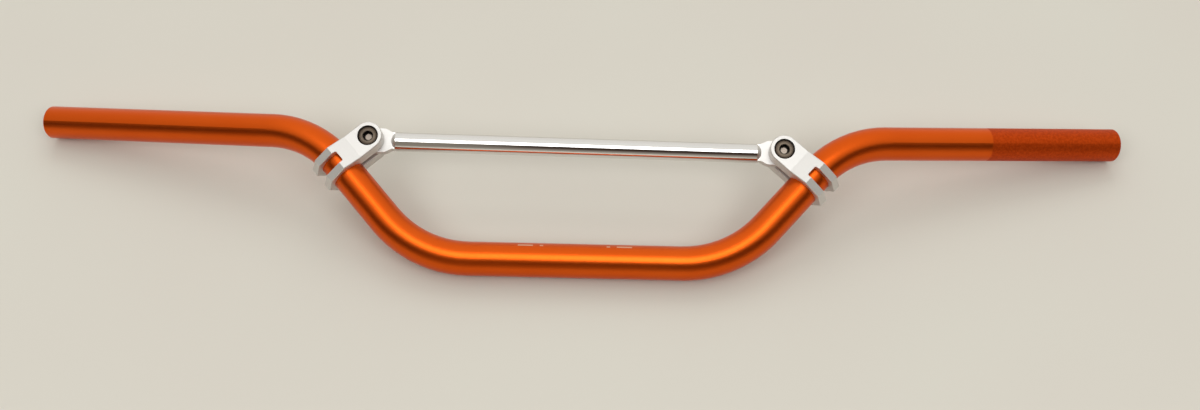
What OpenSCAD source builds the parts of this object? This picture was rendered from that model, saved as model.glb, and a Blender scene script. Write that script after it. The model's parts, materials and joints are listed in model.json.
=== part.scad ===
/* [Bar] */
// Outer diameter of the bar
bar_d = 22.2; // [20:0.1:25.4]
// Wall thickness of the bar
bar_wall = 4; // [2:0.1:5]
// Rounding on the outer edge of each open end
end_round = 1; // [0.2:0.1:1.5]

/* [Bends] */
// Straight centre section that a stem clamp holds
centre_len = 137.5; // [100:0.5:180]
// Centreline radius of the two lower bends
lower_bend_r = 74; // [50:1:90]
// Angle of the legs above the centre section
leg_angle = 48.4; // [40:0.1:58]
// Straight length of each leg between its bends
leg_len = 49; // [40:1:80]
// Centreline radius of the two upper bends
upper_bend_r = 70; // [55:1:90]
// Straight length of each grip section
grip_len = 168.5; // [130:0.5:220]
// Rise of the grips as they run outwards
upsweep = 4.6; // [0:0.1:10]
// Sweep of the grips towards the rider
backsweep = 11.8; // [7:0.1:18]
// How far the skin of a bend stands proud of the straights
bend_swell = 0.05; // [0.05:0.01:0.2]

/* [Crossbar] */
// Diameter of the crossbar rod
rod_d = 12.7; // [10:0.1:14]
// Thickness of the flat eye at each end
eye_t = 6; // [4:0.1:8]
// Width of the flat eye at each end
eye_w = 16.2; // [14:0.1:18]
// Length of the eye's straight sides, measured from the screw's axis
eye_straight = 8; // [6:0.1:10]
// Distance from the screw's axis to the full round rod
eye_neck = 16.8; // [15:0.1:24]
// Radius of the domes that the rod runs out in, over the flat eyes
dome_r = 7.5; // [7.2:0.1:12]

/* [Clamps] */
// Distance from the end of the lower bend to the clamps' middle
clamp_pos = 46.4; // [20:0.1:48]
// How far the left clamp sits above, and the right one below, that place
clamp_skew = 2; // [0:0.1:4]
// Width of a clamp along the leg
clamp_w = 18.6; // [16:0.1:22]
// Wall of the clamp over the bar, at the middle of a facet
clamp_wall = 3.9; // [2.5:0.1:5]
// Thickness of the pair of ears, front face to back face
ears_t = 26; // [24:0.1:28]
// Distance from the bar's axis to the screw's axis
ear_reach = 25.4; // [24:0.1:32]
// Distance from the bar's axis to the crease where the ears turn flat
crease = 13; // [8:0.1:16]
// Width of the window cut through the outside of the clamp
window_w = 8; // [4:0.1:10]
// How far the window reaches past the bar's axis towards the ears
window_in = 3; // [0:0.1:6]
// Corner radius of the window
window_r = 1.2; // [0.4:0.1:1.8]
// Chamfer on the outer edges of a clamp
edge_break = 0.5; // [0.2:0.1:1]

/* [Screws] */
// Thread diameter of a clamp screw
screw_d = 8; // [6:0.5:8]
// Diameter of the screw head
head_d = 13; // [11:0.1:13.5]
// Height of the screw head
head_h = 5; // [4:0.1:6]
// Depth of the head's top below the ear's face
head_sink = 1; // [0.2:0.1:2]
// Width across the flats of the hexagon socket
socket_af = 6; // [4:0.5:6]
// Depth of the hexagon socket
socket_depth = 3.2; // [2:0.1:3.6]
// How far the screw's tip stops short of the back face
tip_short = 0.5; // [0:0.1:2]

/* [Fits] */
// Gap left between parts that are clamped or screwed together
fit_gap = 0.05; // [0.02:0.01:0.1]
// Play of the screw in the front ear and in the eye
screw_play = 0.25; // [0.1:0.05:0.4]
// Play of the screw head in its counterbore
head_play = 0.3; // [0.1:0.05:0.5]

/* [Hidden] */
$fn = 96;
past = 1;
bend_lap = 0.4;
neck_bite = 0.2;

bar_r = bar_d / 2;
bore_r = bar_r - bar_wall;
rod_r = rod_d / 2;
head_chamfer = 0.12 * head_h;
tip_chamfer = 0.1 * screw_d;

// Centreline of the right-hand half, in the plane of the centre section and the legs
leg_dir = [cos(leg_angle), sin(leg_angle), 0];
grip_dir = unit([1, tan(upsweep), -tan(backsweep)]);
leg_side = [-leg_dir.y, leg_dir.x, 0];
upper_bend_angle = acos(leg_dir * grip_dir);
upper_bend_turn = atan2(grip_dir.z, leg_side * grip_dir);
lower_setback = lower_bend_r * tan(leg_angle / 2);
upper_setback = upper_bend_r * tan(upper_bend_angle / 2);
lower_vertex = [centre_len / 2 + lower_setback, 0, 0];
leg_start = lower_vertex + leg_dir * lower_setback;
leg_end = leg_start + leg_dir * leg_len;
upper_vertex = leg_end + leg_dir * upper_setback;
grip_start = upper_vertex + grip_dir * upper_setback;
grip_end = grip_start + grip_dir * grip_len;

// Tilt at which the centre section and both grip ends touch the table
end_ring = grip_end - grip_dir * end_round;
end_reach = norm([end_ring.y, end_ring.z]);
end_phase = atan2(end_ring.z, end_ring.y);
rest_tilt = settled(-end_phase, 6);

// Screw axes, where the crossbar is held
screw_left_at = screw_point(clamp_skew);
screw_right_at = screw_point(-clamp_skew);
screw_span = [
    screw_right_at.x + screw_left_at.x,
    screw_right_at.y - screw_left_at.y
];
crossbar_len = norm(screw_span);
crossbar_turn = atan2(screw_span.y, screw_span.x);
dome_depth = dome_r - sqrt(pow(dome_r, 2) - pow(rod_r, 2));

// Heights on a clamp, from its middle plane
ear_face = ears_t / 2;
slit = eye_t + 2 * fit_gap;
head_seat = ear_face - head_sink - head_h;
facet_reach = bar_r + clamp_wall;
ridge = facet_reach / cos(22.5);
front_slope = atan((ridge - ear_face) / crease);

function unit(v) = v / norm(v);

// Slope of a grip below the table's plane at a tilt
function grip_fall(tilt) = grip_dir.y * sin(tilt) + grip_dir.z * cos(tilt);

// Height that the centre of the end ring needs so that its lowest point is the table's
function ring_height(tilt) = (bar_r - end_round) * (sqrt(1 - pow(grip_fall(tilt), 2)) - 1);

function settled(tilt, rounds) =
    rounds == 0
        ? tilt
        : settled(asin(ring_height(tilt) / end_reach) - end_phase, rounds - 1);

// Middle of a clamp on the right-hand leg, and its screw's axis
function clamp_point(shift) = leg_start + leg_dir * (clamp_pos + shift);

function screw_point(shift) = clamp_point(shift) + leg_side * ear_reach;

// Half width of the crossbar's flat end at a distance from the screw: two arcs in an S,
// whose far end lies just under the rod's skin
function neck_half(x) =
    let (
        wide = eye_w / 2,
        narrow = sqrt(pow(rod_r, 2) - pow(eye_t / 2, 2)) - neck_bite,
        half_run = (eye_neck - eye_straight) / 2,
        half_drop = (wide - narrow) / 2,
        arc_r = (pow(half_run, 2) + pow(half_drop, 2)) / (2 * half_drop),
        along = x - eye_straight
    )
    along <= half_run
        ? wide - arc_r + sqrt(pow(arc_r, 2) - pow(along, 2))
        : narrow + arc_r - sqrt(pow(arc_r, 2) - pow(2 * half_run - along, 2));

// Bar of radius r along +X
module straight(length, r) {
    rotate([0, 90, 0])
        cylinder(h = length, r = r);
}

// Bar of radius r that starts along +X and bends towards +Y
module bend(bend_r, angle, r) {
    translate([0, bend_r, 0])
        rotate([0, 0, -90])
            rotate_extrude(angle = angle)
                translate([bend_r, 0])
                    circle(r + bend_swell);
}

// Carries on where such a bend ends
module after_bend(bend_r, angle) {
    translate([0, bend_r, 0])
        rotate([0, 0, angle])
            translate([0, -bend_r, 0])
                children();
}

// Frame at the foot of the right-hand leg, X up the leg
module on_leg() {
    translate([centre_len / 2, 0, 0])
        after_bend(lower_bend_r, leg_angle)
            children();
}

// Frame at the start of the upper bend, turned so that it bends towards +Y
module on_upper_bend() {
    on_leg()
        translate([leg_len, 0, 0])
            rotate([upper_bend_turn, 0, 0])
                children();
}

// Frame at the start of the grip, X along it
module on_grip() {
    on_upper_bend()
        after_bend(upper_bend_r, upper_bend_angle)
            children();
}

// Right-hand half of the bent bar at radius r, as far as the grip. The straights run a
// little way into the bends, so that the wall carries on without a seam
module half_run(r) {
    straight(centre_len / 2 + bend_lap, r);
    translate([centre_len / 2, 0, 0])
        bend(lower_bend_r, leg_angle, r);
    on_leg()
        translate([-bend_lap, 0, 0])
            straight(leg_len + 2 * bend_lap, r);
    on_upper_bend()
        bend(upper_bend_r, upper_bend_angle, r);
}

// Grip with a rounded outer edge at its open end
module grip() {
    on_grip()
        rotate([0, 90, 0])
            rotate_extrude() {
                translate([0, -bend_lap])
                    square([bar_r, bend_lap + grip_len - end_round]);
                square([bar_r - end_round, grip_len]);
                translate([bar_r - end_round, grip_len - end_round])
                    intersection() {
                        circle(end_round);
                        square(end_round);
                    }
            }
}

module both_sides() {
    children();
    mirror([1, 0, 0])
        children();
}

// Lays the flat plane of the bar at its tilt on the table
module at_rest() {
    rotate([rest_tilt, 0, 0])
        children();
}

module handlebar_tube() {
    color("orangered")
        at_rest()
            both_sides()
                difference() {
                    union() {
                        half_run(bar_r);
                        grip();
                    }
                    half_run(bore_r);
                    on_grip()
                        translate([-bend_lap, 0, 0])
                            straight(bend_lap + grip_len + past, bore_r);
                }
}

// Round rod between its two domes
module rod() {
    half_run = crossbar_len / 2 - eye_neck;
    rotate([0, 90, 0])
        rotate_extrude() {
            translate([0, -half_run])
                square([rod_r, 2 * half_run]);
            for (side = [-1, 1])
                intersection() {
                    translate([0, side * (half_run + dome_depth - dome_r)])
                        circle(dome_r);
                    translate([0, side > 0 ? half_run : -half_run - dome_depth])
                        square([rod_r, dome_depth]);
                }
        }
}

// Flat eye and neck about the screw's axis, with the rod towards +X
module eye() {
    steps = 16;
    stations = [for (i = [0 : steps]) eye_straight + (eye_neck - eye_straight) * i / steps];
    upper = [for (x = stations) [x, neck_half(x)]];
    lower = [for (i = [steps : -1 : 0]) [stations[i], -neck_half(stations[i])]];
    inside = neck_half(eye_neck);
    outline = concat(
        [[0, -eye_w / 2], [0, eye_w / 2]],
        upper,
        [[eye_neck + past, inside], [eye_neck + past, -inside]],
        lower
    );
    cylinder(h = eye_t, d = eye_w, center = true);
    linear_extrude(height = eye_t, center = true)
        polygon(outline);
}

module at_both_screws() {
    both_sides()
        translate([-crossbar_len / 2, 0, 0])
            children();
}

module crossbar() {
    middle = [
        (screw_right_at.x - screw_left_at.x) / 2,
        (screw_right_at.y + screw_left_at.y) / 2,
        0
    ];
    color("gainsboro")
        at_rest()
            translate(middle)
                rotate([0, 0, crossbar_turn])
                    difference() {
                        union() {
                            rod();
                            at_both_screws()
                                eye();
                        }
                        at_both_screws()
                            cylinder(h = eye_t + 2 * past, r = screw_d / 2 + screw_play, center = true);
                    }
}

// Places what belongs to a clamp: X away from the crossbar, Y up the leg
module on_right_leg(shift) {
    on_leg()
        translate([clamp_pos + shift, 0, 0])
            rotate([0, 0, -90])
                children();
}

module on_left_leg(shift) {
    mirror([1, 0, 0])
        on_right_leg(shift)
            children();
}

// One facet of the clamp's outside: everything up to a plane, with chamfered sides
module facet(angle, reach) {
    half = clamp_w / 2;
    far = 2 * (ear_reach + clamp_w);
    rotate([0, -angle, 0])
        linear_extrude(height = 2 * far, center = true)
            polygon([
                [-far, -half],
                [reach - edge_break, -half],
                [reach, -half + edge_break],
                [reach, half - edge_break],
                [reach - edge_break, half],
                [-far, half]
            ]);
}

// Eight-sided wrap round the bar, falling to the ears on its inner side
module wrap() {
    intersection() {
        intersection_for(angle = [-67.5, -22.5, 22.5, 67.5])
            facet(angle, facet_reach);
        facet(90 + front_slope, ridge * cos(front_slope));
        facet(-90 - front_slope, ridge * cos(front_slope));
        translate([-crease, -clamp_w, -ridge - past])
            cube([crease + ridge + past, 2 * clamp_w, 2 * (ridge + past)]);
    }
}

// Pair of ears as one block with a round end about the screw
module ears() {
    half = clamp_w / 2;
    section = [
        [half - edge_break, -ear_face],
        [half, -ear_face + edge_break],
        [half, ear_face - edge_break],
        [half - edge_break, ear_face]
    ];
    rotate([90, 0, -90])
        linear_extrude(height = ear_reach)
            polygon(concat(section, [for (i = [3 : -1 : 0]) [-section[i].x, section[i].y]]));
    translate([-ear_reach, 0, 0])
        rotate_extrude()
            polygon(concat([[0, -ear_face]], section, [[0, ear_face]]));
}

// Window from beside the bar's axis out through the wrap
module window() {
    run = window_in + ridge + past;
    translate([-window_in, 0, 0])
        linear_extrude(height = 2 * (ridge + past), center = true) {
            translate([window_r, -window_w / 2])
                square([run, window_w]);
            translate([0, window_r - window_w / 2])
                square([run, window_w - 2 * window_r]);
            for (side = [-1, 1])
                translate([window_r, side * (window_w / 2 - window_r)])
                    circle(window_r);
        }
}

// Counterbore, clearance hole and tapped hole on the screw's axis
module screw_holes() {
    translate([-ear_reach, 0, 0]) {
        translate([0, 0, head_seat])
            cylinder(h = ears_t, r = head_d / 2 + head_play);
        cylinder(h = ears_t, r = screw_d / 2 + screw_play);
        translate([0, 0, -ears_t])
            cylinder(h = 2 * ears_t, r = screw_d / 2 + fit_gap);
    }
}

module clamp_blank() {
    difference() {
        union() {
            wrap();
            ears();
        }
        translate([-2 * ear_reach, -clamp_w, -slit / 2])
            cube([2 * ear_reach, 2 * clamp_w, slit]);
        window();
        screw_holes();
    }
}

// A clamp for the right-hand leg, bored to the bar that it grips
module clamp(shift) {
    difference() {
        on_right_leg(shift)
            clamp_blank();
        half_run(bar_r + fit_gap);
    }
}

module clamp_left() {
    color("silver")
        at_rest()
            mirror([1, 0, 0])
                clamp(clamp_skew);
}

module clamp_right() {
    color("silver")
        at_rest()
            clamp(-clamp_skew);
}

// Low socket head cap screw, its head seated on Z = 0 and its shank towards -Z
module screw() {
    reach = ear_face + head_seat - tip_short;
    difference() {
        union() {
            cylinder(h = head_h - head_chamfer, d = head_d);
            translate([0, 0, head_h - head_chamfer])
                cylinder(h = head_chamfer, d1 = head_d, d2 = head_d - 2 * head_chamfer);
        }
        translate([0, 0, head_h - socket_depth])
            cylinder(h = socket_depth + past, d = socket_af / cos(30), $fn = 6);
    }
    translate([0, 0, tip_chamfer - reach])
        cylinder(h = reach - tip_chamfer, d = screw_d);
    translate([0, 0, -reach])
        cylinder(h = tip_chamfer, d1 = screw_d - 2 * tip_chamfer, d2 = screw_d);
}

module seated_screw() {
    translate([-ear_reach, 0, head_seat])
        screw();
}

module screw_left() {
    color("dimgray")
        at_rest()
            on_left_leg(clamp_skew)
                seated_screw();
}

module screw_right() {
    color("dimgray")
        at_rest()
            on_right_leg(-clamp_skew)
                seated_screw();
}

handlebar_tube();
crossbar();
clamp_left();
clamp_right();
screw_left();
screw_right();
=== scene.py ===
import json
import math

import bpy
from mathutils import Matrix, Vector


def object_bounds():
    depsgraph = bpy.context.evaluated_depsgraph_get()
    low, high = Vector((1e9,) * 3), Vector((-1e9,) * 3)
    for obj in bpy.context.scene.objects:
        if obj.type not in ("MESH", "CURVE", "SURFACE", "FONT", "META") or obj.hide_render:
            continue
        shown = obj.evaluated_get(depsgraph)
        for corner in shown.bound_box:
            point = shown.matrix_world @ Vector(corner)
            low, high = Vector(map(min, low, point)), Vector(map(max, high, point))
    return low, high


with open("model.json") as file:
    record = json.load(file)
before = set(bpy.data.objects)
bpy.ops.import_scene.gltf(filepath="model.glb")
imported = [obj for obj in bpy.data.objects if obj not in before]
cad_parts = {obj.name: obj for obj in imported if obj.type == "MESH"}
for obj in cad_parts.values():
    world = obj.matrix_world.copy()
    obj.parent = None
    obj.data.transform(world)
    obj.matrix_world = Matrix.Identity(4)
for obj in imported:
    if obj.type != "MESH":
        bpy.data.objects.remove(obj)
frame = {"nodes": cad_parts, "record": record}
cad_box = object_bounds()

# The bar: one drawn aluminium tube, 22.2 mm across, bent twice on each side, bead blasted and
# dyed orange in its anodising. A stem clamp holds its straight middle, a hand each of its ends.
ORANGE = "#E3601B"
ORANGE_DEEP = "#DB5513"
ETCHED = "#EDBA9C"
MM = 0.001


def linear(code):
    """The linear colour of an sRGB hex code."""
    parts = [int(code[i:i + 2], 16) / 255 for i in (1, 3, 5)]
    return [c / 12.92 if c <= 0.04045 else ((c + 0.055) / 1.055) ** 2.4 for c in parts] + [1.0]


def add(tree, kind, inputs=None, links=None, **settings):
    """Adds a node with its settings, its input values and its links from other nodes' outputs."""
    node = tree.nodes.new(kind)
    for key, value in settings.items():
        setattr(node, key, value)
    for key, value in (inputs or {}).items():
        node.inputs[key].default_value = value
    for key, (source, output) in (links or {}).items():
        tree.links.new(source.outputs[output], node.inputs[key])
    return node


def start_material(name):
    """A material with an empty node tree."""
    material = bpy.data.materials.new(name)
    material.use_nodes = True
    material.node_tree.nodes.clear()
    return material, material.node_tree


def dress(node, material):
    """Gives a CAD node its material."""
    slots = frame["nodes"][node].data.materials
    slots.clear()
    slots.append(material)


# Bead blasted and dyed anodised aluminium: the blasting spreads each highlight into a satin
# glow, and the dye lies over bare metal, so that even its shadows keep a deep colour.
material, tree = start_material("blasted_and_dyed_anodised_aluminium")
place = add(tree, "ShaderNodeTexCoord")

# The blasting's pits are 0.1 mm wide. They are drawn 1.5 mm wide, to show from a step away.
PIT = 1.5 * MM
PIT_DEPTH = 0.05 * MM
pits = add(tree, "ShaderNodeTexNoise", {"Scale": 1 / PIT, "Detail": 2.0, "Roughness": 0.6},
           {"Vector": (place, "Object")})

# The dye takes a little unevenly, in clouds 40 mm wide.
CLOUD = 40 * MM
clouds = add(tree, "ShaderNodeTexNoise", {"Scale": 1 / CLOUD, "Detail": 3.0},
             {"Vector": (place, "Object")})
dye = add(tree, "ShaderNodeMix", {6: linear(ORANGE_DEEP), 7: linear(ORANGE)}, {0: (clouds, "Fac")},
          data_type="RGBA")

# The last 95 mm of the grip on +X is blasted again with coarse grit, so that a glued grip holds.
# The grit's craters trap light: the colour there is painted darker, as painted shade,
# and speckled with more painted shade in the pits.
GRIT_LEN = 95 * MM
GRIT_EDGE = 0.5 * MM
# The grit zone's two oranges are painted shade: darker overall, and darker still in the pits.
ORANGE_GRIT_SHADE = "#D25016"
ORANGE_CRATER_SHADE = "#BD430D"
CRATER_LOW = 0.35
CRATER_HIGH = 0.65
mounts = {mount["name"]: mount for mount in frame["record"]["mounts"]}
grip = mounts["grip_right"]
grip_dir = Vector(grip["axis"])
grip_end = Vector(grip["pos_m"]) + grip_dir * grip["dims"]["length_mm"] / 2 * MM
from_end = add(tree, "ShaderNodeVectorMath", {1: grip_end}, {0: (place, "Object")},
               operation="SUBTRACT")
along = add(tree, "ShaderNodeVectorMath", {1: grip_dir}, {0: (from_end, "Vector")},
            operation="DOT_PRODUCT")
grit_zone = add(tree, "ShaderNodeMapRange",
                {"From Min": -GRIT_LEN - GRIT_EDGE, "From Max": -GRIT_LEN + GRIT_EDGE},
                {"Value": (along, "Value")})
# Painted shade: the low values of the pits' noise get the darker crater orange.
crater_shade = add(tree, "ShaderNodeMapRange", {"From Min": CRATER_LOW, "From Max": CRATER_HIGH},
             {"Value": (pits, "Fac")})
speckled_shade = add(tree, "ShaderNodeMix", {6: linear(ORANGE_CRATER_SHADE), 7: linear(ORANGE_GRIT_SHADE)},
               {0: (crater_shade, "Result")}, data_type="RGBA")
dye_and_grit_shade = add(tree, "ShaderNodeMix", links={0: (grit_zone, "Result"), 6: (dye, 2), 7: (speckled_shade, 2)},
              data_type="RGBA")

# Two dashes and two dots are etched on the upper back of the middle, to centre the stem clamp.
MARK_TURN = math.radians(116)
DASH_AT = 31.8 * MM
DASH_LEN = 9.8 * MM
DOT_AT = 21.5 * MM
DOT_LEN = 2.2 * MM
MARK_W = 1.4 * MM
outward = Vector((0, -math.cos(MARK_TURN), math.sin(MARK_TURN)))
around = Vector((0, math.sin(MARK_TURN), math.cos(MARK_TURN)))
axes = add(tree, "ShaderNodeSeparateXYZ", links={"Vector": (place, "Object")})
off_centre = add(tree, "ShaderNodeMath", links={0: (axes, "X")}, operation="ABSOLUTE")
on_dash = add(tree, "ShaderNodeMath", {1: DASH_AT, 2: DASH_LEN / 2}, {0: (off_centre, "Value")},
              operation="COMPARE")
on_dot = add(tree, "ShaderNodeMath", {1: DOT_AT, 2: DOT_LEN / 2}, {0: (off_centre, "Value")},
             operation="COMPARE")
on_either = add(tree, "ShaderNodeMath", links={0: (on_dash, "Value"), 1: (on_dot, "Value")},
                operation="MAXIMUM")
beside = add(tree, "ShaderNodeVectorMath", {1: around}, {0: (place, "Object")},
             operation="DOT_PRODUCT")
on_line = add(tree, "ShaderNodeMath", {1: 0.0, 2: MARK_W / 2}, {0: (beside, "Value")},
              operation="COMPARE")
above = add(tree, "ShaderNodeVectorMath", {1: outward}, {0: (place, "Object")},
            operation="DOT_PRODUCT")
on_top = add(tree, "ShaderNodeMath", {1: 0.0}, {0: (above, "Value")}, operation="GREATER_THAN")
on_side = add(tree, "ShaderNodeMath", links={0: (on_line, "Value"), 1: (on_top, "Value")},
              operation="MULTIPLY")
etched = add(tree, "ShaderNodeMath", links={0: (on_either, "Value"), 1: (on_side, "Value")},
             operation="MULTIPLY")
colour = add(tree, "ShaderNodeMix", {7: linear(ETCHED)}, {0: (etched, "Value"), 6: (dye_and_grit_shade, 2)},
             data_type="RGBA")

# The fine beads leave an even satin, and the coarse grit a dull, deeper pitted skin. Most values
# of a noise lie between NOISE_LOW and NOISE_HIGH.
SATIN_SMOOTH = 0.3
SATIN_ROUGH = 0.35
GRIT_ROUGH = 0.55
BEAD_BUMP = 0.04
GRIT_BUMP = 0.3
NOISE_LOW = 0.3
NOISE_HIGH = 0.7
satin = add(tree, "ShaderNodeMapRange",
            {"From Min": NOISE_LOW, "From Max": NOISE_HIGH,
             "To Min": SATIN_SMOOTH, "To Max": SATIN_ROUGH},
            {"Value": (pits, "Fac")})
rough = add(tree, "ShaderNodeMix", {3: GRIT_ROUGH}, {0: (grit_zone, "Result"), 2: (satin, "Result")})
depth = add(tree, "ShaderNodeMapRange", {"To Min": BEAD_BUMP, "To Max": GRIT_BUMP},
            {"Value": (grit_zone, "Result")})
bump = add(tree, "ShaderNodeBump", {"Distance": PIT_DEPTH},
           {"Height": (pits, "Fac"), "Strength": (depth, "Result")})
metal = add(tree, "ShaderNodeBsdfPrincipled", {"Metallic": 1.0},
            {"Base Color": (colour, 2), "Roughness": (rough, 0), "Normal": (bump, "Normal")})
add(tree, "ShaderNodeOutputMaterial", links={"Surface": (metal, "BSDF")})
dress("handlebar_tube", material)

# The clamps: milled from aluminium bar, tumbled and clear anodised. Each wraps the leg through
# eight facets and pinches the crossbar's eye between its two ears.
CLEAR = "#DCDAD7"
CLEAR_LIGHT = "#E4E2DF"
FROST_SMOOTH = 0.5
FROST_ROUGH = 0.58

# Tumbling dulls the milled faces to an even frost, which the clear oxide layer keeps pale.
material, tree = start_material("tumbled_and_clear_anodised_aluminium")
place = add(tree, "ShaderNodeTexCoord")

# The tumbling chips leave dents 0.2 mm wide, which are drawn 1 mm wide to show.
DENT = 1.0 * MM
DENT_DEPTH = 0.05 * MM
dents = add(tree, "ShaderNodeTexNoise", {"Scale": 1 / DENT, "Detail": 3.0},
            {"Vector": (place, "Object")})
colour = add(tree, "ShaderNodeMix", {6: linear(CLEAR), 7: linear(CLEAR_LIGHT)}, {0: (dents, "Fac")},
             data_type="RGBA")
rough = add(tree, "ShaderNodeMapRange",
            {"From Min": NOISE_LOW, "From Max": NOISE_HIGH,
             "To Min": FROST_SMOOTH, "To Max": FROST_ROUGH},
            {"Value": (dents, "Fac")})
bump = add(tree, "ShaderNodeBump", {"Strength": 0.15, "Distance": DENT_DEPTH},
           {"Height": (dents, "Fac")})
metal = add(tree, "ShaderNodeBsdfPrincipled", {"Metallic": 1.0},
            {"Base Color": (colour, 2), "Roughness": (rough, "Result"), "Normal": (bump, "Normal")})
add(tree, "ShaderNodeOutputMaterial", links={"Surface": (metal, "BSDF")})
dress("clamp_left", material)
dress("clamp_right", material)

# The clamp screws: M8 socket screws with low heads of black-oxide steel, let into the front
# ears. The key has rubbed the oxide thin round the socket, in a lighter ring that is also a
# painted sheen. The socket is painted dark as painted shade, with a painted glint on its floor.
OXIDE = "#352D26"
OXIDE_SOCKET_SHADE = "#1E1A17"
OXIDE_RUBBED_AND_SHEEN = "#776B5E"
SOCKET_FLOOR_GLINT = "#8C8177"
OXIDE_SMOOTH = 0.28
OXIDE_ROUGH = 0.4
RUBBED_SHEEN_R = 4.4 * MM
RUBBED_SHEEN_FADE = 1.2 * MM
SOCKET_R = 3.5 * MM
SOCKET_DEPTH = 3.2 * MM
GLINT_R = 2.3 * MM
GLINT_FADE = 0.5 * MM

# The clamps and their screws lean back with the bar, as it lies on its middle and its two ends.
LEAN = math.radians(22.0346)
screw_dir = Vector((0, -math.sin(LEAN), math.cos(LEAN)))

# A screw's top is where its highest points lie, all within a hundredth of a millimetre.
TOP_LAYER = 0.01 * MM
head_tops = {}
for name in ("screw_left", "screw_right"):
    points = [vertex.co for vertex in frame["nodes"][name].data.vertices]
    height = max(point.dot(screw_dir) for point in points)
    top = [point for point in points if point.dot(screw_dir) > height - TOP_LAYER]
    head_tops[name] = sum(top, Vector()) / len(top)

    # Black oxide over turned steel: dark and a little brown, with rings from the lathe.
    material, tree = start_material("black_oxide_steel_" + name)
    place = add(tree, "ShaderNodeTexCoord")
    from_top = add(tree, "ShaderNodeVectorMath", {1: head_tops[name]}, {0: (place, "Object")},
                   operation="SUBTRACT")
    square = add(tree, "ShaderNodeVectorRotate", {"Angle": -LEAN}, {"Vector": (from_top, "Vector")},
                 rotation_type="X_AXIS")
    flat = add(tree, "ShaderNodeVectorMath", {1: (1, 1, 0)}, {0: (square, "Vector")},
               operation="MULTIPLY")
    radius = add(tree, "ShaderNodeVectorMath", links={0: (flat, "Vector")}, operation="LENGTH")
    axes = add(tree, "ShaderNodeSeparateXYZ", links={"Vector": (square, "Vector")})

    # The lathe's feed leaves rings 0.1 mm apart, which are drawn 0.8 mm apart to show. A wave
    # texture turns through 20 radians to the metre for each unit of its scale.
    RING = 0.8 * MM
    RING_DEPTH = 0.05 * MM
    WAVE_RATE = 20
    rings = add(tree, "ShaderNodeTexWave",
                {"Scale": 2 * math.pi / (WAVE_RATE * RING), "Distortion": 0.3},
                {"Vector": (flat, "Vector")}, wave_type="RINGS", rings_direction="Z")

    # The key rubs the rim of the socket, where the oxide wears off in blotches 2.5 mm wide.
    # The lighter ring is also a painted sheen, for the glints on the head's rim.
    BLOTCH = 2.5 * MM
    wear_and_sheen = add(tree, "ShaderNodeMapRange", {"From Min": RUBBED_SHEEN_R + RUBBED_SHEEN_FADE, "From Max": RUBBED_SHEEN_R},
               {"Value": (radius, "Value")})
    blotch = add(tree, "ShaderNodeTexNoise", {"Scale": 1 / BLOTCH, "Detail": 3.0},
                 {"Vector": (place, "Object")})
    worn_and_sheen = add(tree, "ShaderNodeMath", links={0: (wear_and_sheen, "Result"), 1: (blotch, "Fac")},
               operation="MULTIPLY")
    # Painted sheen and real wear: a lighter ring in blotches round the socket.
    outer = add(tree, "ShaderNodeMix", {6: linear(OXIDE), 7: linear(OXIDE_RUBBED_AND_SHEEN)}, {0: (worn_and_sheen, "Value")},
                data_type="RGBA")

    # The socket's walls are painted dark, as painted shade in the hole. A painted glint fades in
    # just above its floor.
    FLOOR_CLEAR = 0.5 * MM
    FLOOR_NEAR = 0.2 * MM
    low = add(tree, "ShaderNodeMapRange",
              {"From Min": FLOOR_CLEAR - SOCKET_DEPTH, "From Max": FLOOR_NEAR - SOCKET_DEPTH},
              {"Value": (axes, "Z")})
    # Painted shade: everything within the socket's radius is painted darker.
    inside = add(tree, "ShaderNodeMath", {1: SOCKET_R}, {0: (radius, "Value")}, operation="LESS_THAN")
    socket_shade = add(tree, "ShaderNodeMix", {7: linear(OXIDE_SOCKET_SHADE)}, {0: (inside, "Value"), 6: (outer, 2)},
                 data_type="RGBA")
    # Painted highlight: a pale spot on the socket's floor stands for a glint there.
    glint_spot = add(tree, "ShaderNodeMapRange", {"From Min": GLINT_R, "From Max": GLINT_R - GLINT_FADE},
               {"Value": (radius, "Value")})
    floor_glint = add(tree, "ShaderNodeMath", links={0: (low, "Result"), 1: (glint_spot, "Result")},
                operation="MULTIPLY")
    colour = add(tree, "ShaderNodeMix", {7: linear(SOCKET_FLOOR_GLINT)}, {0: (floor_glint, "Value"), 6: (socket_shade, 2)},
                 data_type="RGBA")
    rough = add(tree, "ShaderNodeMapRange",
                {"From Min": NOISE_LOW, "From Max": NOISE_HIGH,
                 "To Min": OXIDE_SMOOTH, "To Max": OXIDE_ROUGH},
                {"Value": (blotch, "Fac")})
    bump = add(tree, "ShaderNodeBump", {"Strength": 0.2, "Distance": RING_DEPTH},
               {"Height": (rings, "Fac")})
    metal = add(tree, "ShaderNodeBsdfPrincipled", {"Metallic": 1.0},
                {"Base Color": (colour, 2), "Roughness": (rough, "Result"), "Normal": (bump, "Normal")})
    add(tree, "ShaderNodeOutputMaterial", links={"Surface": (metal, "BSDF")})
    dress(name, material)

# The crossbar: an aluminium rod, 12.7 mm across, turned and polished. Each end is pressed into
# a flat eye that a clamp screw passes through, and the round rod runs out in a dome above it.
POLISHED = "#DEDCD9"
POLISHED_LIGHT = "#E8E6E3"
BUFFED_SMOOTH = 0.07
BUFFED_ROUGH = 0.1
EYE_ROUGH = 0.52
EYE_RUN = 15.8 * MM
EYE_EDGE = 1 * MM
middle = (head_tops["screw_left"].x + head_tops["screw_right"].x) / 2
half_span = (head_tops["screw_right"] - head_tops["screw_left"]).length / 2

# Polished aluminium mirrors its surroundings, with faint streaks along the buffed rod. The
# pressed eyes keep the frost of the press tool.
material, tree = start_material("polished_aluminium")
place = add(tree, "ShaderNodeTexCoord")

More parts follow.
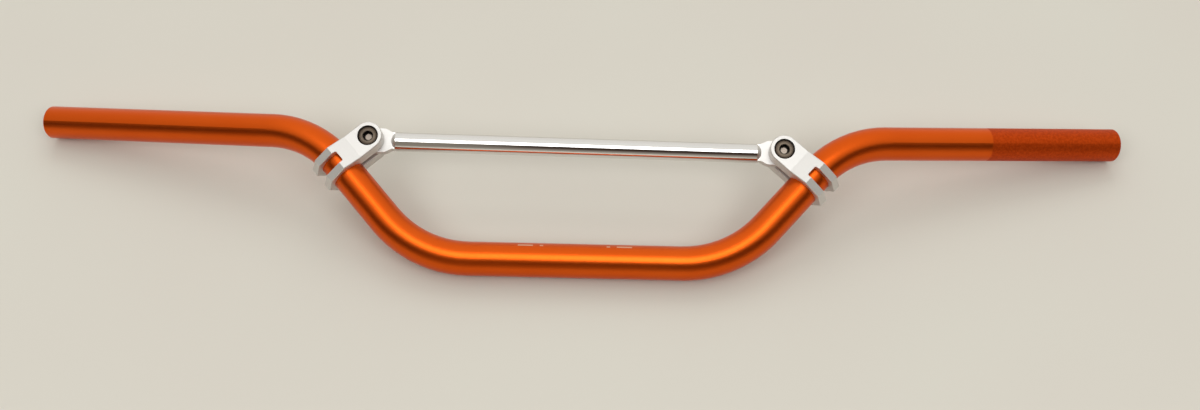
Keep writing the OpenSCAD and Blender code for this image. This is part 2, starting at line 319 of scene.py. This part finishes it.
# Buffing leaves scratches 0.05 mm wide. They are drawn 0.8 mm wide and 60 mm long, to show.
STREAK_W = 0.8 * MM
STREAK_LEN = 60 * MM
STREAK_DEPTH = 0.02 * MM
drawn_out = add(tree, "ShaderNodeMapping", {"Scale": (1 / STREAK_LEN, 1 / STREAK_W, 1 / STREAK_W)},
                {"Vector": (place, "Object")})
streaks = add(tree, "ShaderNodeTexNoise", {"Scale": 1.0, "Detail": 2.0},
              {"Vector": (drawn_out, "Vector")})
colour = add(tree, "ShaderNodeMix", {6: linear(POLISHED), 7: linear(POLISHED_LIGHT)},
             {0: (streaks, "Fac")}, data_type="RGBA")
buffed = add(tree, "ShaderNodeMapRange",
             {"From Min": NOISE_LOW, "From Max": NOISE_HIGH,
              "To Min": BUFFED_SMOOTH, "To Max": BUFFED_ROUGH},
             {"Value": (streaks, "Fac")})
axes = add(tree, "ShaderNodeSeparateXYZ", links={"Vector": (place, "Object")})
from_middle = add(tree, "ShaderNodeMath", {1: middle}, {0: (axes, "X")}, operation="SUBTRACT")
off_middle = add(tree, "ShaderNodeMath", links={0: (from_middle, "Value")}, operation="ABSOLUTE")
eye_start = half_span - EYE_RUN
pressed = add(tree, "ShaderNodeMapRange",
              {"From Min": eye_start - EYE_EDGE, "From Max": eye_start + EYE_EDGE},
              {"Value": (off_middle, "Value")})
rough = add(tree, "ShaderNodeMix", {3: EYE_ROUGH}, {0: (pressed, "Result"), 2: (buffed, "Result")})
bump = add(tree, "ShaderNodeBump", {"Strength": 0.02, "Distance": STREAK_DEPTH},
           {"Height": (streaks, "Fac")})
metal = add(tree, "ShaderNodeBsdfPrincipled", {"Metallic": 1.0},
            {"Base Color": (colour, 2), "Roughness": (rough, 0), "Normal": (bump, "Normal")})
add(tree, "ShaderNodeOutputMaterial", links={"Surface": (metal, "BSDF")})
dress("crossbar", material)

# The table top that the bar lies on: board with a warm pale grey laminate pressed on to it. The
# bar only rests there, on its straight middle and its two ends.
TABLE_HALF = 8.0
TABLE_PALE = "#D4D2C8"
TABLE_WARM = "#D2CDC4"
table_z = cad_box[0][2]
mesh = bpy.data.meshes.new("table")
corners = [(-TABLE_HALF, -TABLE_HALF), (TABLE_HALF, -TABLE_HALF),
           (TABLE_HALF, TABLE_HALF), (-TABLE_HALF, TABLE_HALF)]
mesh.from_pydata([(x, y, table_z) for x, y in corners], [], [(0, 1, 2, 3)])
table = bpy.data.objects.new("table", mesh)
bpy.context.scene.collection.objects.link(table)

# The pressed laminate's fine tooth scatters light evenly, so it shows soft shadows and no gloss.
# Its print is mottled, six clouds to the metre.
CLOUDS_PER_METRE = 6.0
material, tree = start_material("matte_laminate")
place = add(tree, "ShaderNodeTexCoord")
mottle = add(tree, "ShaderNodeTexNoise", {"Scale": CLOUDS_PER_METRE, "Detail": 1.0},
             {"Vector": (place, "Object")})
colour = add(tree, "ShaderNodeMix", {6: linear(TABLE_WARM), 7: linear(TABLE_PALE)},
             {0: (mottle, "Fac")}, data_type="RGBA")
laminate = add(tree, "ShaderNodeBsdfPrincipled", {"Roughness": 0.9, "Specular IOR Level": 0.1},
               {"Base Color": (colour, 2)})
add(tree, "ShaderNodeOutputMaterial", links={"Surface": (laminate, "BSDF")})
table.data.materials.append(material)

# The room: pale walls and ceiling, with a dark band low over the near side, behind the camera.
# Its levels go round from the near horizon, overhead, to the far one.
ROOM = [(0.0, "#B0A89E"), (0.1, "#8A8279"), (0.18, "#45362F"), (0.31, "#3A2D27"), (0.35, "#EBEAE6"),
        (0.6, "#FAF9F5"), (0.85, "#F1EFEA"), (1.0, "#EEECE6")]
world = bpy.data.worlds.new("room")
bpy.context.scene.world = world
world.use_nodes = True
tree = world.node_tree
tree.nodes.clear()
way = add(tree, "ShaderNodeTexCoord")
axes = add(tree, "ShaderNodeSeparateXYZ", links={"Vector": (way, "Generated")})
nearness = add(tree, "ShaderNodeMath", {1: -1.0}, {0: (axes, "Y")}, operation="MULTIPLY")
angle = add(tree, "ShaderNodeMath", links={0: (axes, "Z"), 1: (nearness, "Value")}, operation="ARCTAN2")
turn = add(tree, "ShaderNodeMath", {1: math.pi}, {0: (angle, "Value")}, operation="DIVIDE")
levels = add(tree, "ShaderNodeValToRGB", links={"Fac": (turn, "Value")})
elements = levels.color_ramp.elements
while len(elements) < len(ROOM):
    elements.new(0.5)
for element, (position, code) in zip(elements, ROOM):
    element.position = position
    element.color = linear(code)

# The two side walls are darker than the rest. A direction goes over to them as its sideways part
# grows from the start to the full value.
SIDE_WALLS = "#CFCCC3"
SIDE_START = 0.4
SIDE_FULL = 0.7
sideways = add(tree, "ShaderNodeMath", links={0: (axes, "X")}, operation="ABSOLUTE")
side = add(tree, "ShaderNodeMapRange", {"From Min": SIDE_START, "From Max": SIDE_FULL},
           {"Value": (sideways, "Value")})
walls = add(tree, "ShaderNodeMix", {7: linear(SIDE_WALLS)}, {0: (side, "Result"), 6: (levels, "Color")},
            data_type="RGBA", blend_type="DARKEN")

# Left of the dark band's middle, a gap shows the lighter wall behind it.
GAP_GREY = "#8E877C"
GAP_AT = -0.19
GAP_HALF = 0.06
GAP_END = 0.12
gap_shift = add(tree, "ShaderNodeMath", {1: GAP_AT}, {0: (axes, "X")}, operation="SUBTRACT")
gap_way = add(tree, "ShaderNodeMath", links={0: (gap_shift, "Value")}, operation="ABSOLUTE")
gap = add(tree, "ShaderNodeMapRange",
          {"From Min": GAP_HALF, "From Max": GAP_END, "To Min": 1.0, "To Max": 0.0},
          {"Value": (gap_way, "Value")})
walls = add(tree, "ShaderNodeMix", {7: linear(GAP_GREY)}, {0: (gap, "Result"), 6: (walls, 2)},
            data_type="RGBA", blend_type="LIGHTEN")
room = add(tree, "ShaderNodeBackground", links={"Color": (walls, 2)})
add(tree, "ShaderNodeOutputWorld", links={"Surface": (room, "Background")})

# The soft box: a cloth panel that hangs level over the near side of the table, lit from behind.
# It shows in the metal only, as its highlights, and leaves the matte table to the windows.
SOFT_WIDTH = 0.84
SOFT_DEPTH = 0.9
SOFT_POWER = 7.8
SOFT_PLACE = (0.0, -0.42, 1.5)
light = bpy.data.lights.new("soft_box", "AREA")
light.shape = "RECTANGLE"
light.size = SOFT_WIDTH
light.size_y = SOFT_DEPTH
light.energy = SOFT_POWER
lamp = bpy.data.objects.new("soft_box", light)
lamp.location = SOFT_PLACE
lamp.visible_diffuse = False
bpy.context.scene.collection.objects.link(lamp)

# Three windows light the matte table: a far one, whose shadows fall softly to the near side, and
# two over the near corners, whose shadows hide behind the bar. Each has its place and its power.
WINDOW_WIDTH = 1.8
WINDOW_HEIGHT = 1.4
WINDOWS = {
    "far": ((0.0, 2.24, 2.28), 14.0),
    "near_left": ((-1.8, -1.84, 2.6), 32.0),
    "near_right": ((1.8, -1.84, 2.6), 32.0),
}
for name, (window_place, power) in WINDOWS.items():
    light = bpy.data.lights.new("window_" + name, "AREA")
    light.shape = "RECTANGLE"
    light.size = WINDOW_WIDTH
    light.size_y = WINDOW_HEIGHT
    light.energy = power
    lamp = bpy.data.objects.new("window_" + name, light)
    lamp.location = window_place
    lamp.rotation_euler = Vector(window_place).to_track_quat("Z", "Y").to_euler()
    lamp.visible_glossy = False
    bpy.context.scene.collection.objects.link(lamp)

# The camera: above the near side of the table, a little right of the bar's middle. It looks down
# on the bar through a 38 mm lens, and its frame is as wide as a 36 mm film's.
CAMERA_PLACE = (0.02334, -0.45516, 0.68376)
CAMERA_TURN = (36.2066, -0.3154, 1.3626)
FILM_WIDTH = 36.0
LENS = 38.11
camera = bpy.data.objects.new("camera", bpy.data.cameras.new("camera"))
bpy.context.scene.collection.objects.link(camera)
camera.location = CAMERA_PLACE
camera.rotation_euler = [math.radians(degrees) for degrees in CAMERA_TURN]
camera.data.sensor_width = FILM_WIDTH
camera.data.lens = LENS
camera.data.clip_start = 0.01
camera.data.clip_end = 50.0
bpy.context.scene.camera = camera
bpy.context.scene.view_settings.view_transform = "Standard"
